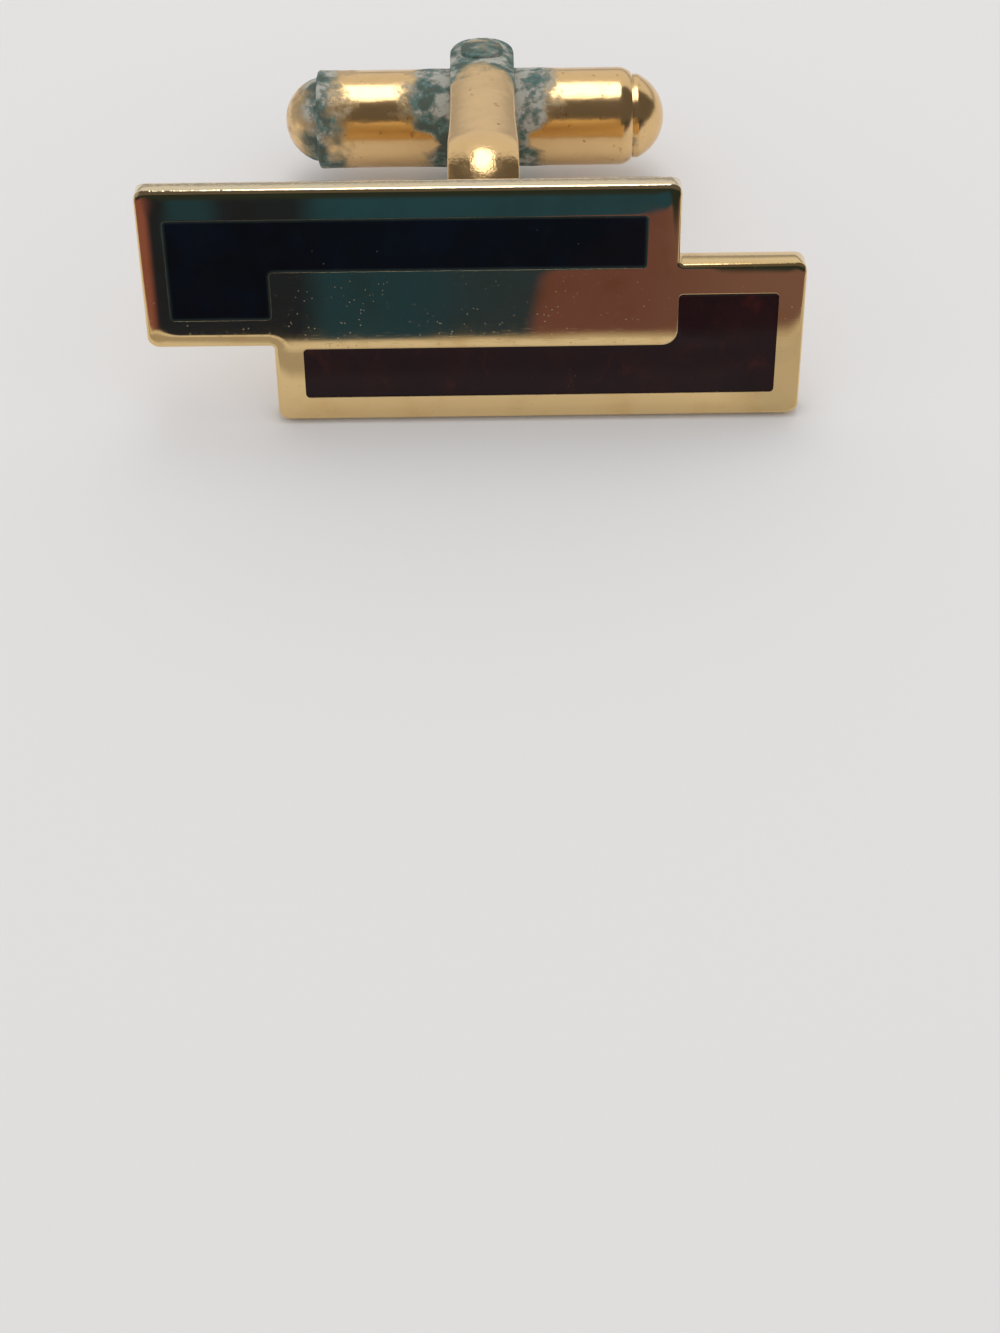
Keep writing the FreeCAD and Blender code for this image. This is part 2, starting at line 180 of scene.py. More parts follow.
def polishedGold():
    look = {
        "gold": rgb(0.83, 0.60, 0.29), "warm": rgb(0.76, 0.51, 0.22),
        "cloudScale": 0.6, "warmRange": (0.45, 0.8),
        "rough": 0.05, "haze": 0.03, "hazeRange": (0.4, 0.75),
        "fineStretch": (1.2, 9, 26), "fineTurn": (0, 0.35, 0), "fineRange": (0.60, 0.72),  # hairlines from a cloth
        "crossStretch": (22, 9, 1.5), "crossTurn": (0, -0.2, 0), "crossRange": (0.64, 0.74),
        "hairRough": 0.04, "hairShare": 0.1, "hairDeep": 0.002,
        "dust": rgb(0.45, 0.43, 0.38), "dustScale": 5.0, "dustSize": (0.07, 0.16),
        "patchScale": 0.55, "patchRange": (0.44, 0.56), "patchTop": (0.8, 2.4),  # it lies low on the face
        "dustTone": 0.45, "dustRough": 0.25, "dustDull": 0.3,
        "pale": rgb(0.80, 0.70, 0.50), "topEdge": (4.7, 5.0),  # paler along the top edge
        "edgeFront": (0.03, 0.10), "edgeBack": (0.70, 0.90), "topBandLeast": 0.4, "topBandCloud": 0.6,
        "nickScale": 4.0, "nickLeast": 0.4, "nickDeep": 0.016,
        "backRange": (1.00, 1.10), "backRough": 0.14,  # brushed, not polished
        "brushStretch": (0.7, 5, 16), "brushTurn": (0, 0.06, 0), "brushRough": 0.16, "brushDeep": 0.006,
        "waveScale": 0.30, "waveDeep": 0.006,  # the face is not quite flat
    }
    material, bench = newMaterial("polishedGold")
    spot = bench.spot(faceSpot)
    place = bench.split(spot)
    depth, rise = place.out("Y"), place.out("Z")
    cloud = bench.noise(spot, look["cloudScale"], detail=4)
    fine = bench.noise(bench.stretch(spot, look["fineStretch"], look["fineTurn"]), 1.0, detail=2)
    cross = bench.noise(bench.stretch(spot, look["crossStretch"], look["crossTurn"]), 1.0, detail=2)
    hair = fine.ramp(*look["fineRange"]) + cross.ramp(*look["crossRange"])
    dusty = bench.noise(spot, look["patchScale"]).ramp(*look["patchRange"]) * (1 - rise.ramp(*look["patchTop"]))
    speck = bench.specks(spot, look["dustScale"], look["dustSize"]) * dusty
    back = depth.ramp(*look["backRange"])
    brushed = bench.noise(bench.stretch(spot, look["brushStretch"], look["brushTurn"]), 1.0, detail=3) * back
    rough = look["rough"] + look["haze"] * cloud.ramp(*look["hazeRange"]) + look["hairRough"] * hair
    rough = rough + look["dustRough"] * speck + look["backRough"] * back + look["brushRough"] * brushed
    gold = bench.mix(cloud.ramp(*look["warmRange"]), look["gold"], look["warm"])
    gold = bench.mix(speck * look["dustTone"], gold, look["dust"])
    edges = depth.ramp(*look["edgeFront"]) * (1 - depth.ramp(*look["edgeBack"]))
    # the top edge band, where the colour turns paler and nicks are stronger
    topEdgeBand = edges * rise.ramp(*look["topEdge"])
    gold = bench.mix(topEdgeBand * (look["topBandLeast"] + look["topBandCloud"] * cloud), gold, look["pale"])
    nicks = bench.noise(spot, look["nickScale"], detail=3, roughness=0.6) * edges * (look["nickLeast"] + topEdgeBand)
    relief = bench.bump(0 - hair * look["hairShare"] - speck, look["hairDeep"], 0.5)
    relief = bench.bump(nicks, look["nickDeep"], 0.6, relief)
    relief = bench.bump(brushed, look["brushDeep"], 0.6, relief)
    relief = bench.bump(bench.noise(spot, look["waveScale"], detail=0), look["waveDeep"], 1.0, relief)
    shine = 1 - look["dustDull"] * speck
    bench.surface({"Base Color": gold, "Metallic": shine, "Roughness": rough, "Normal": relief})
    return material


def wornGold(name, goldTone, tarnishTone, tarnish, shade):
    look = {
        "stops": [  # colours of the verdigris
            (0.22, rgb(0.076, 0.104, 0.084)), (0.44, rgb(0.090, 0.186, 0.170)),
            (0.64, rgb(0.200, 0.205, 0.170)), (0.95, rgb(0.420, 0.425, 0.375)),
        ],
        "grainScale": 5.0, "grainMiddle": 0.5, "coverGrain": 0.6, "coverRange": (0.20, 0.85),
        "dullGrain": 0.5, "dullRange": (0.0, 0.45), "tan": rgb(0.36, 0.30, 0.19), "tanShare": 0.5,
        "driftAcross": (-3.0, 3.0, -0.02, 0.26),  # paler to the right and upwards, but darker on the arm and rivet: partly the crust's own tone, partly painted shade
        "driftUp": (-2.0, 3.4, -0.14, 0.27), "driftTop": (2.2, 2.8, 0.0, -0.24),
        "mottleScale": 1.1, "mottleRange": (0.34, 0.66), "mottleGrain": 0.8,
        "thickShade": 0.3, "thickMiddle": 0.55,  # darker where it is thick
        "cloudScale": 0.9, "stainRange": (0.42, 0.75),
        "spotScale": 2.8, "spotRange": (0.66, 0.74), "spotShare": 0.6,
        "rough": 0.15, "cloudRough": 0.08, "stainRough": 0.14, "dullRough": 0.26, "coverRough": 0.26,
        "lumpLeast": 0.5, "lumpDeep": 0.04,
        "waveScale": 0.8, "waveDeep": 0.03,  # a stamped tube is a little uneven
        "bendRange": (-8.8, -7.6), "creaseScale": 2.4, "creaseDeep": 0.03,  # where the strip is bent
    }
    material, bench = newMaterial(name)
    spot = bench.spot(pivotSpot)
    place = bench.split(spot)
    rise = place.out("Z")
    crust = bench.attribute("crust")
    grain = bench.noise(spot, look["grainScale"], detail=5, roughness=0.65)
    fleck = grain - look["grainMiddle"]
    cover = (crust + look["coverGrain"] * fleck).ramp(*look["coverRange"])
    dull = (crust + look["dullGrain"] * fleck).ramp(*look["dullRange"])
    # the darker crust on the arm's top and the rivet is partly its own tone, partly painted shade
    drift = place.ramp(*look["driftAcross"]) + rise.ramp(*look["driftUp"]) + rise.ramp(*look["driftTop"]) + shade
    mottle = bench.noise(spot, look["mottleScale"], detail=6, roughness=0.62, bend=0.2)
    mottle = mottle.ramp(*look["mottleRange"]) + drift + look["mottleGrain"] * fleck
    mottle = mottle - look["thickShade"] * (crust - look["thickMiddle"])
    bloom = bench.node("ShaderNodeValToRGB", {"stops": look["stops"]}, {"Fac": mottle})
    cloud = bench.noise(spot, look["cloudScale"], detail=4)
    spots = bench.noise(spot, look["spotScale"], detail=2).ramp(*look["spotRange"])
    stain = (cloud.ramp(*look["stainRange"]) * tarnish + spots * look["spotShare"]).ramp(0.0, 1.0)
    gold = bench.mix(stain, goldTone, tarnishTone)
    gold = bench.mix(dull * look["tanShare"], gold, look["tan"])
    tone = bench.mix(cover, gold, bloom)
    rough = look["rough"] + look["cloudRough"] * cloud + look["stainRough"] * stain
    rough = rough + look["dullRough"] * dull + look["coverRough"] * cover
    relief = bench.bump(cover * (look["lumpLeast"] + grain), look["lumpDeep"], 0.6)
    relief = bench.bump(bench.noise(spot, look["waveScale"], detail=3), look["waveDeep"], 0.8, relief)
    bent = 1 - place.out("Y").ramp(*look["bendRange"])
    creases = bench.noise(spot, look["creaseScale"], detail=3, roughness=0.6) * bent
    relief = bench.bump(creases, look["creaseDeep"], 0.8, relief)
    bench.surface({"Base Color": tone, "Metallic": 1 - cover, "Roughness": rough, "Normal": relief})
    return material


def enamel(name, tones):
    look = {
        "cloudScale": 0.5, "cloudRange": (0.35, 0.75),
        "streakStretch": (1.0, 1, 0.7), "streakTurn": (0, 0.5, 0), "streakScale": 0.9,
        "smearRange": (0.55, 0.78), "brinkLeast": 0.4, "brinkStreak": 0.6,
        "dust": rgb(0.5, 0.5, 0.5), "dustScale": 1.7, "dustSize": (0.025, 0.05),
        "patchScale": 0.9, "patchRange": (0.5, 0.6), "dustTone": 0.25, "dustRough": 0.3,
        "rough": 0.06, "streakRough": 0.10, "roughRange": (0.5, 0.8), "shine": 0.14,
        "waveScale": 0.45, "waveDeep": 0.02,
    }
    material, bench = newMaterial(name)
    spot = bench.spot(faceSpot)
    cloud = bench.noise(spot, look["cloudScale"], detail=5, roughness=0.6, bend=0.6)
    streak = bench.stretch(spot, look["streakStretch"], look["streakTurn"])
    streak = bench.noise(streak, look["streakScale"], detail=4, roughness=0.6, bend=0.4)
    dust = bench.specks(spot, look["dustScale"], look["dustSize"])
    dust = dust * bench.noise(spot, look["patchScale"]).ramp(*look["patchRange"])
    brink = bench.attribute("brink") * (look["brinkLeast"] + look["brinkStreak"] * streak)
    tone = bench.mix(cloud.ramp(*look["cloudRange"]), tones["deep"], tones["tint"])
    tone = bench.mix(streak.ramp(*look["smearRange"]) * tones["smearShare"], tone, tones["smear"])
    tone = bench.mix(dust * look["dustTone"], tone, look["dust"])
    tone = bench.mix(brink, tone, tones["brink"])
    rough = look["rough"] + look["streakRough"] * streak.ramp(*look["roughRange"]) + look["dustRough"] * dust
    relief = bench.bump(bench.noise(spot, look["waveScale"], detail=2), look["waveDeep"], 0.7)
    bench.surface({"Base Color": tone, "Roughness": rough, "Specular IOR Level": look["shine"], "Normal": relief})
    return material


def plainMetal(name, tone, shade, rough):
    look = {
        "brushStretch": (0.6, 8, 8), "brushRough": 0.15, "brushDeep": 0.01,
        "cloudScale": 1.4, "cloudRange": (0.4, 0.7),
    }
    material, bench = newMaterial(name)
    spot = bench.spot(pivotSpot)
    brush = bench.noise(bench.stretch(spot, look["brushStretch"]), 1.0, detail=3)
    cloud = bench.noise(spot, look["cloudScale"], detail=4)
    mixed = bench.mix(cloud.ramp(*look["cloudRange"]), tone, shade)
    rough = rough + look["brushRough"] * brush
    relief = bench.bump(brush, look["brushDeep"], 0.5)
    bench.surface({"Base Color": mixed, "Metallic": 1.0, "Roughness": rough, "Normal": relief})
    return material


navyTones = {
    "deep": rgb(0.0044, 0.0050, 0.0064), "tint": rgb(0.0046, 0.0066, 0.0125),
    "smear": rgb(0.01, 0.014, 0.02), "smearShare": 0.2, "brink": rgb(0.045, 0.062, 0.052),
}
maroonTones = {
    "deep": rgb(0.016, 0.0070, 0.0082), "tint": rgb(0.023, 0.0084, 0.0090),
    "smear": rgb(0.075, 0.014, 0.010), "smearShare": 0.45, "brink": rgb(0.012, 0.006, 0.005),
}
goldShine = polishedGold()
goldWorn = wornGold("wornGold", rgb(0.82, 0.56, 0.27), rgb(0.46, 0.25, 0.10), tarnish=0.25, shade=0.0)
# the rivet's darker crust is partly its own tone, partly painted shade of the head's front wall
rivetBrass = wornGold("tarnishedBrass", rgb(0.70, 0.50, 0.26), rgb(0.20, 0.20, 0.15), tarnish=0.9, shade=-0.30)
navyGlass = enamel("navyEnamel", navyTones)
maroonGlass = enamel("maroonEnamel", maroonTones)
solderGrey = plainMetal("solderGrey", rgb(0.62, 0.60, 0.55), rgb(0.40, 0.38, 0.34), rough=0.35)
springSteel = plainMetal("springSteel", rgb(0.56, 0.56, 0.57), rgb(0.36, 0.35, 0.34), rough=0.22)
print("finishes mixed")


# Drawing tools: a line is drawn point by point, then spun, bridged or pushed out

def lineTo(bm, tip, spot, steps=1):
    start = tip.co.copy()
    for step in range(1, steps + 1):
        tip = bmesh.ops.extrude_vert_indiv(bm, verts=[tip])["verts"][0]
        tip.co = start.lerp(Vector(spot), step / steps)
    return tip


def arcTo(bm, tip, centre, axis, degrees, steps):
    angle = math.radians(degrees)
    swept = bmesh.ops.spin(bm, geom=[tip], cent=centre, axis=axis, angle=angle, steps=steps)
    return [item for item in swept["geom_last"] if isinstance(item, bmesh.types.BMVert)][0]


def spinRound(bm, geom, axis, steps):
    bmesh.ops.spin(bm, geom=geom, cent=(0, 0, 0), axis=axis, angle=math.tau, steps=steps, use_merge=True)
    bmesh.ops.remove_doubles(bm, verts=bm.verts, dist=weld)  # closes the poles


def pushLoop(bm, edges, shift):
    grown = bmesh.ops.extrude_edge_only(bm, edges=edges)["geom"]
    bmesh.ops.translate(bm, verts=[item for item in grown if isinstance(item, bmesh.types.BMVert)], vec=shift)
    return [item for item in grown if isinstance(item, bmesh.types.BMEdge) and item.is_boundary]


def roundedLoop(bm, corners, inset, depth, convexRound, hollowRound, hollowDepth=None):
    leastRound = 0.02
    tip = None
    for row, (x, z, outX, outZ, hollow) in enumerate(corners):
        before = corners[row - 1]
        level = hollowDepth if hollow and hollowDepth is not None else depth
        corner = Vector((x - outX * inset, level, z - outZ * inset))
        radius = max(hollowRound + inset if hollow else convexRound - inset, leastRound)
        inner = -radius if hollow else radius
        centre = corner - Vector((outX * inner, 0, outZ * inner))
        arriving = Vector((x - before[0], 0, z - before[1])).normalized()
        start = corner - arriving * radius
        tip = lineTo(bm, tip, start) if tip else bm.verts.new(start)
        first = tip if row == 0 else first
        tip = arcTo(bm, tip, centre, yAxis, -90 if hollow else 90, cornerSteps)
    ring = [tip, first]
    bm.edges.new(ring)
    while ring[-1] is not tip:  # in order round the loop
        onward = [edge for edge in ring[-1].link_edges if ring[-2] not in edge.verts][0]
        ring.append(onward.other_vert(ring[-1]))
    return ring[1:]


def edgesOf(bm, ring):
    return [bm.edges.get(pair) for pair in zip(ring, ring[1:] + ring[:1])]


def bridgeAll(bm, rings):
    for first, second in zip(rings, rings[1:]):
        bmesh.ops.bridge_loops(bm, edges=edgesOf(bm, first) + edgesOf(bm, second))


def stretchOf(ring, start, end):  # the points of a loop from the middle of one corner to another's
    low = start * (cornerSteps + 1) + cornerSteps // 2
    high = end * (cornerSteps + 1) + cornerSteps // 2
    way = 1 if end > start else -1
    return [ring[row % len(ring)] for row in range(low, high + way, way)]


def addPiece(name, bm, place, material, body, node):
    sharpAt, closest = math.radians(35), 1e-5
    bmesh.ops.remove_doubles(bm, verts=bm.verts, dist=closest)
    bmesh.ops.recalc_face_normals(bm, faces=bm.faces)
    bmesh.ops.transform(bm, matrix=place, verts=bm.verts)
    mesh = bpy.data.meshes.new(name)
    bm.to_mesh(mesh)
    bm.free()
    mesh.polygons.foreach_set("use_smooth", [True] * len(mesh.polygons))
    mesh.set_sharp_from_angle(angle=sharpAt)
    mesh.materials.append(material)
    piece = bpy.data.objects.new(name, mesh)
    bpy.context.collection.objects.link(piece)
    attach(piece, body)
    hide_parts(node)
    print(name, len(mesh.polygons), "faces")


def between(table, value):  # reads a table of pairs, in straight lines from one to the next
    for (low, start), (high, end) in zip(table, table[1:]):
        if value <= high:
            return start + (end - start) * min(max((value - low) / (high - low), 0), 1)
    return table[-1][1]


def growCrust(bm, coverage, thick, patchy=0.45):  # verdigris: how much lies on each point, and how far it stands out
    blots = {"scale": 1.1, "fall": 0.9, "finer": 2.0, "octaves": 4}
    lumps = {"scale": 3.0, "fall": 0.8, "finer": 2.0, "octaves": 3}
    liftFrom = 0.4  # thinner crust is only a stain

    def grain(spot, kind):
        return noise.fractal(spot * kind["scale"], kind["fall"], kind["finer"], kind["octaves"])

    layer = bm.verts.layers.float.new("crust")
    bm.normal_update()
    lifts = []
    for vert in bm.verts:
        amount = min(max(coverage(vert.co) + patchy * grain(vert.co, blots), 0.0), 1.0)
        vert[layer] = amount
        lump = 0.5 + 0.5 * grain(vert.co, lumps)
        lifts.append((vert, thick * max(amount - liftFrom, 0.0) * lump))
    for vert, lift in lifts:
        vert.co += vert.normal * lift


# Face plate

facePlate = {
    "panelWide": 21.0, "panelTall": 6.8,  # two equal panels
    "panelShift": 5.0, "panelDrop": 3.4,  # how far the lower one lies to the right and down
    "thick": 1.15,
    "cornerRound": 0.44, "notchRound": 0.15,
    "edgeRound": 0.18, "edgeSteps": 8,  # polished-over edge
    "pillowWide": 0.50, "pillowTilt": 9, "pillowSteps": 14, "pillowCorner": 0.75,  # gentle fall towards the edge
    "cornerFall": 1.15, "notchFall": 0.5,  # the fall is larger at corners than in the notches
    "backRound": 0.12, "backMiddle": 0.3,  # and how far the round has come at its middle
    "topWorn": 0.30, "topWornWide": 0.5,  # the top edge is worn down at the back
    "navy": {"top": 1.235, "leg": 1.0, "bar": 1.27, "foot": 1.22},  # borders of the cells
    "maroon": {"top": 1.08, "leg": 1.05, "bar": 1.15, "foot": 1.27},
    "cellDepth": 0.5, "lapDrop": 0.10,
    "cellRound": 0.18, "lapRound": 0.62,
    "rim": 0.004, "rimSteps": 3,
    "margin": 0.04, "level": 0.0002,  # all but flat strip that keeps the shading of flat faces flat
    "enamelSink": 0.004, "enamelGap": 0.001,
    "enamelDish": 0.012, "dishWide": 0.14, "dishMiddle": (0.05, 0.6),  # across and down
}
halfWide = (facePlate["panelWide"] + facePlate["panelShift"]) / 2
halfTall = (facePlate["panelTall"] + facePlate["panelDrop"]) / 2
halfLap = (facePlate["panelWide"] - facePlate["panelShift"]) / 2
halfBand = (facePlate["panelTall"] - facePlate["panelDrop"]) / 2


def halfTurned(corners):
    return [(-x, -z, -outX, -outZ, hollow) for x, z, outX, outZ, hollow in corners]


def plateCorners():  # x, z, which way is out, and whether the corner is a hollow one
    upper = [
        (-halfWide, halfTall, -1, 1, False),
        (halfLap, halfTall, 1, 1, False),
        (halfLap, halfBand, 1, 1, True),
        (halfWide, halfBand, 1, 1, False),
    ]
    return upper + halfTurned(upper)


def cellCorners(side):  # the upper left L, or the lower right one, half turned and with its own borders
    border = facePlate["navy" if side > 0 else "maroon"]
    lap = halfBand - side * facePlate["lapDrop"]
    upper = [
        (border["leg"] - halfWide, halfTall - border["top"], -1, 1, False),
        (halfLap - border["bar"], halfTall - border["top"], 1, 1, False),
        (halfLap - border["bar"], lap, 1, -1, False),
        (-halfLap, lap, 1, -1, True),
        (-halfLap, border["foot"] - halfBand, 1, -1, False),
        (border["leg"] - halfWide, border["foot"] - halfBand, -1, -1, False),
    ]
    return upper if side > 0 else halfTurned(upper)


def cellLoop(bm, side, inset, depth):
    hollowRound = facePlate["cellRound"] if side > 0 else facePlate["lapRound"]
    return roundedLoop(bm, cellCorners(side), inset, depth, facePlate["cellRound"], hollowRound)


def edgeProfile():  # from the side wall inwards: inset, share of the pillow's fall, and further depth
    tilt = math.radians(facePlate["pillowTilt"])
    radius, wide = facePlate["edgeRound"], facePlate["pillowWide"]
    roundWide = radius * (1 - math.sin(tilt))
    rings = []
    for step in range(facePlate["edgeSteps"] + 1):
        angle = quarterTurn + (tilt - quarterTurn) * step / facePlate["edgeSteps"]
        rings.append((radius * (1 - math.sin(angle)), 1.0, radius * (math.cos(tilt) - math.cos(angle))))
    for step in range(1, facePlate["pillowSteps"] + 1):
        left = 1 - step / facePlate["pillowSteps"]
        rings.append((roundWide + wide * (1 - left), left * left, 0.0))
    return rings


def plateRings():  # inset, depth, and depth in the notches, from the back round to the face
    thick, soft = facePlate["thick"], facePlate["backRound"]
    middle = soft * facePlate["backMiddle"]
    backRings = [(facePlate["topWornWide"], thick), (soft, thick - facePlate["level"])]
    backRings += [(middle, thick - middle), (0, thick - soft)]
    fall = math.tan(math.radians(facePlate["pillowTilt"])) * facePlate["pillowWide"] / 2
    cornerFall, notchFall = fall * facePlate["cornerFall"], fall * facePlate["notchFall"]
    rings = [(inset, depth, depth) for inset, depth in backRings]
    for inset, share, drop in edgeProfile():
        rings.append((inset, share * cornerFall + drop, share * notchFall + drop))
    return rings


def wearTop(bm):
    wide = facePlate["topWornWide"]
    for vert in bm.verts:
        near = max(vert.co.z - halfTall + wide, 0) / wide
        if vert.co.y > facePlate["thick"] / 2:
            vert.co.y -= facePlate["topWorn"] * near * near


def sinkCell(bm, side):  # gives the loop on the face that the cell starts from
    rim, steps = facePlate["rim"], facePlate["rimSteps"]
    cell = [cellLoop(bm, side, -rim - facePlate["margin"], -facePlate["level"])]
    for step in range(steps + 1):
        angle = quarterTurn * step / steps
        cell.append(cellLoop(bm, side, rim * (math.sin(angle) - 1), rim * (1 - math.cos(angle))))
    cell.append(cellLoop(bm, side, 0, facePlate["cellDepth"]))
    bridgeAll(bm, cell)
    bm.faces.new(cell[-1])
    return cell[0]


def makeFacePlate():
    bm = bmesh.new()
    corners, rings = plateCorners(), plateRings()
    softer = (facePlate["pillowCorner"] - facePlate["cornerRound"]) / rings[-1][0]
    loops = []
    for inset, depth, notchDepth in rings:
        convexRound = facePlate["cornerRound"] + (1 + softer) * inset  # corners grow softer inwards
        loops.append(roundedLoop(bm, corners, inset, depth, convexRound, facePlate["notchRound"], notchDepth))
    bridgeAll(bm, loops)
    bm.faces.new(loops[0])
    wearTop(bm)
    navy, maroon = sinkCell(bm, 1), sinkCell(bm, -1)
    face = loops[-1]  # the flat round both cells, in two halves that meet on three short cuts
    bm.faces.new(stretchOf(face, 0, 4) + stretchOf(maroon, 6, 4) + stretchOf(navy, 2, 0))
    bm.faces.new(stretchOf(face, 4, 8) + stretchOf(navy, 6, 2) + stretchOf(maroon, 4, 0))
    addPiece("facePlate", bm, facePlace, goldShine, "link", "face_plate")


def makeEnamel(name, side, material, node):
    bm = bmesh.new()
    layer = bm.verts.layers.float.new("brink")
    gap, sink, dish = facePlate["enamelGap"], facePlate["enamelSink"], facePlate["enamelDish"]
    wide, (across, down) = facePlate["dishWide"], facePlate["dishMiddle"]
    rings = [  # inset, depth, and how much of the brink's colour shows
        (gap, facePlate["cellDepth"] - gap, 0),
        (gap, sink, 1),
        (gap + across, sink + dish * down, 0.5),
        (gap + wide, sink + dish, 0),
        (gap + wide + facePlate["margin"], sink + dish + facePlate["level"], 0),
    ]
    loops = []
    for inset, depth, brink in rings:
        loops.append(cellLoop(bm, side, inset, depth))
        for vert in loops[-1]:
            vert[layer] = brink
    bridgeAll(bm, loops)
    bm.faces.new(loops[0])
    bm.faces.new(loops[-1])
    addPiece(name, bm, facePlace, material, "link", node)


makeFacePlate()
makeEnamel("navyEnamel", 1, navyGlass, "navy_enamel")
makeEnamel("maroonEnamel", -1, maroonGlass, "maroon_enamel")


# Yoke and solder

yoke = {
    "halfWide": 1.36, "inside": 2.2, "thick": 0.92, "crown": 0.35,
    "soft": 0.12,  # rounding of the strip's edges
    "crownSteps": 14, "softSteps": 5, "sideSteps": 3, "innerSteps": 4, "insideSteps": 6,
    "tipReach": 1.38, "tipCorner": 0.6, "tipSteps": 56, "armReach": 8.25,
    "fineStep": 0.13, "fineReach": 3.1, "coarseSteps": 20, "bendSteps": 24,
    "flareFrom": -5.0, "flare": 0.07,  # the strip spreads where it is bent
    "mirrorWeld": 1e-3,
    "stemRadius": 1.3, "stemLength": 2.9, "stemRoot": 0.2, "stemSteps": 4, "stemRound": 64,
    "footRadius": 2.0, "footThick": 0.35, "footSteps": 2, "footFlareSteps": 8,
    "crustReach": 3.35, "crustThick": 0.05,  # it starts at the tip
    "crustMiddle": 0.35, "crustSlope": 0.5, "crustSide": 0.85, "crustSidePower": 4, "crustAbove": 0.1,
    "solderLeg": 0.35, "solderSteps": 8, "solderRound": 72, "solderFlow": 0.06, "solderGrain": 0.9,
}
forkOutside = yoke["inside"] + yoke["thick"]
footBack = -(yoke["armReach"] + forkOutside + yoke["stemLength"])
crownRadius = (yoke["halfWide"] ** 2 + yoke["crown"] ** 2) / (2 * yoke["crown"])


def crownFall(out):  # how far the crown has dropped at a distance from the strip's middle
    out = min(out, yoke["halfWide"])
    return crownRadius - math.sqrt(crownRadius ** 2 - out ** 2)


def tipGrowth(out):  # how much further a square end with round corners reaches than a round one
    half, corner = yoke["halfWide"], yoke["tipCorner"]
    inner = half - corner
    way = Vector((abs(out.x), abs(out.y))).normalized()
    flat = half / max(way)
    if min(way) * flat <= inner:
        return flat / half
    middle = (way.x + way.y) * inner
    return (middle + math.sqrt(middle * middle - 2 * inner * inner + corner * corner)) / half


def halfSection(bm, y):  # right half of the strip's section, from the crown's middle round to the inside
    half, soft, radius = yoke["halfWide"], yoke["soft"], crownRadius
    top = forkOutside
    reach = math.asin((half - soft) / (radius - soft))  # where the crown meets the rounded edge
    tip = bm.verts.new((0, y, top))
    tip = arcTo(bm, tip, (0, y, top - radius), yAxis, math.degrees(reach), yoke["crownSteps"])
    edgeCentre = (half - soft, y, top - radius + (radius - soft) * math.cos(reach))
    tip = arcTo(bm, tip, edgeCentre, yAxis, 90 - math.degrees(reach), yoke["softSteps"])
    tip = lineTo(bm, tip, (half, y, yoke["inside"] + soft), yoke["sideSteps"])
    tip = arcTo(bm, tip, (half - soft, y, yoke["inside"] + soft), yAxis, 90, yoke["innerSteps"])
    lineTo(bm, tip, (0, y, yoke["inside"]), yoke["insideSteps"])


def squareTip(bm, tipCentre):  # the round end becomes a square one, and the crown runs across only
    for vert in bm.verts:
        out = Vector((vert.co.x, vert.co.y - tipCentre))
        fall = crownFall(out.length)
        share = (vert.co.z - yoke["inside"]) / (yoke["thick"] - fall)
        if out.length > weld:
            out *= tipGrowth(out)
        vert.co.x, vert.co.y = out.x, out.y + tipCentre
        vert.co.z += min(share, 1) * (fall - crownFall(abs(out.x)))


def yokeCrust(spot):  # none on the inside of the fork
    if abs(spot.z) <= yoke["inside"] + yoke["crustAbove"]:
        return 0
    back = yoke["crustReach"] - (yoke["tipReach"] - spot.y)
    side = abs(spot.x) / yoke["halfWide"]
    return yoke["crustMiddle"] + yoke["crustSlope"] * back + yoke["crustSide"] * side ** yoke["crustSidePower"]


def addStem(bm):
    known = set(bm.verts) | set(bm.edges)
    stem, foot = yoke["stemRadius"], yoke["footRadius"]
    flareFront = footBack + yoke["footThick"] + (foot - stem)
    tip = bm.verts.new((0, -(yoke["armReach"] + yoke["inside"] + yoke["stemRoot"]), 0))
    tip = lineTo(bm, tip, (stem, tip.co.y, 0))
    tip = lineTo(bm, tip, (stem, flareFront, 0), yoke["stemSteps"])
    tip = arcTo(bm, tip, (foot, flareFront, 0), zAxis, 90, yoke["footFlareSteps"])
    tip = lineTo(bm, tip, (foot, footBack, 0), yoke["footSteps"])
    lineTo(bm, tip, (0, footBack, 0))
    spinRound(bm, [item for item in bm.verts[:] + bm.edges[:] if item not in known], yAxis, yoke["stemRound"])


def makeYoke():
    bm = bmesh.new()
    tipCentre, reach = yoke["tipReach"] - yoke["halfWide"], yoke["armReach"]
    halfSection(bm, tipCentre)
    section = bm.verts[:] + bm.edges[:]
    tipSpot, bendSpot = (0, tipCentre, 0), (0, -reach, 0)
    bmesh.ops.spin(bm, geom=section, cent=tipSpot, axis=zAxis, angle=math.pi, steps=yoke["tipSteps"])
    bmesh.ops.remove_doubles(bm, verts=bm.verts, dist=weld)
    squareTip(bm, tipCentre)
    loop = [edge for edge in bm.edges if edge.is_boundary]
    fineSteps = round(yoke["fineReach"] / yoke["fineStep"])
    coarse = (reach + tipCentre - fineSteps * yoke["fineStep"]) / yoke["coarseSteps"]
    for step in [yoke["fineStep"]] * fineSteps + [coarse] * yoke["coarseSteps"]:
        loop = pushLoop(bm, loop, (0, -step, 0))
    bmesh.ops.spin(bm, geom=loop, cent=bendSpot, axis=xAxis, angle=quarterTurn, steps=yoke["bendSteps"])
    bmesh.ops.remove_doubles(bm, verts=bm.verts, dist=weld)
    for vert in bm.verts:
        spread = min(max((yoke["flareFrom"] - vert.co.y) / (reach + yoke["flareFrom"]), 0), 1)
        vert.co.x *= 1 + yoke["flare"] * spread * spread
    half = bm.verts[:] + bm.edges[:] + bm.faces[:]
    bmesh.ops.mirror(bm, geom=half, matrix=Matrix.Identity(4), merge_dist=yoke["mirrorWeld"], axis="Z")
    bmesh.ops.recalc_face_normals(bm, faces=bm.faces)
    growCrust(bm, yokeCrust, yoke["crustThick"])
    addStem(bm)
    addPiece("yokeFork", bm, pivotPlace, goldWorn, "link", "yoke")


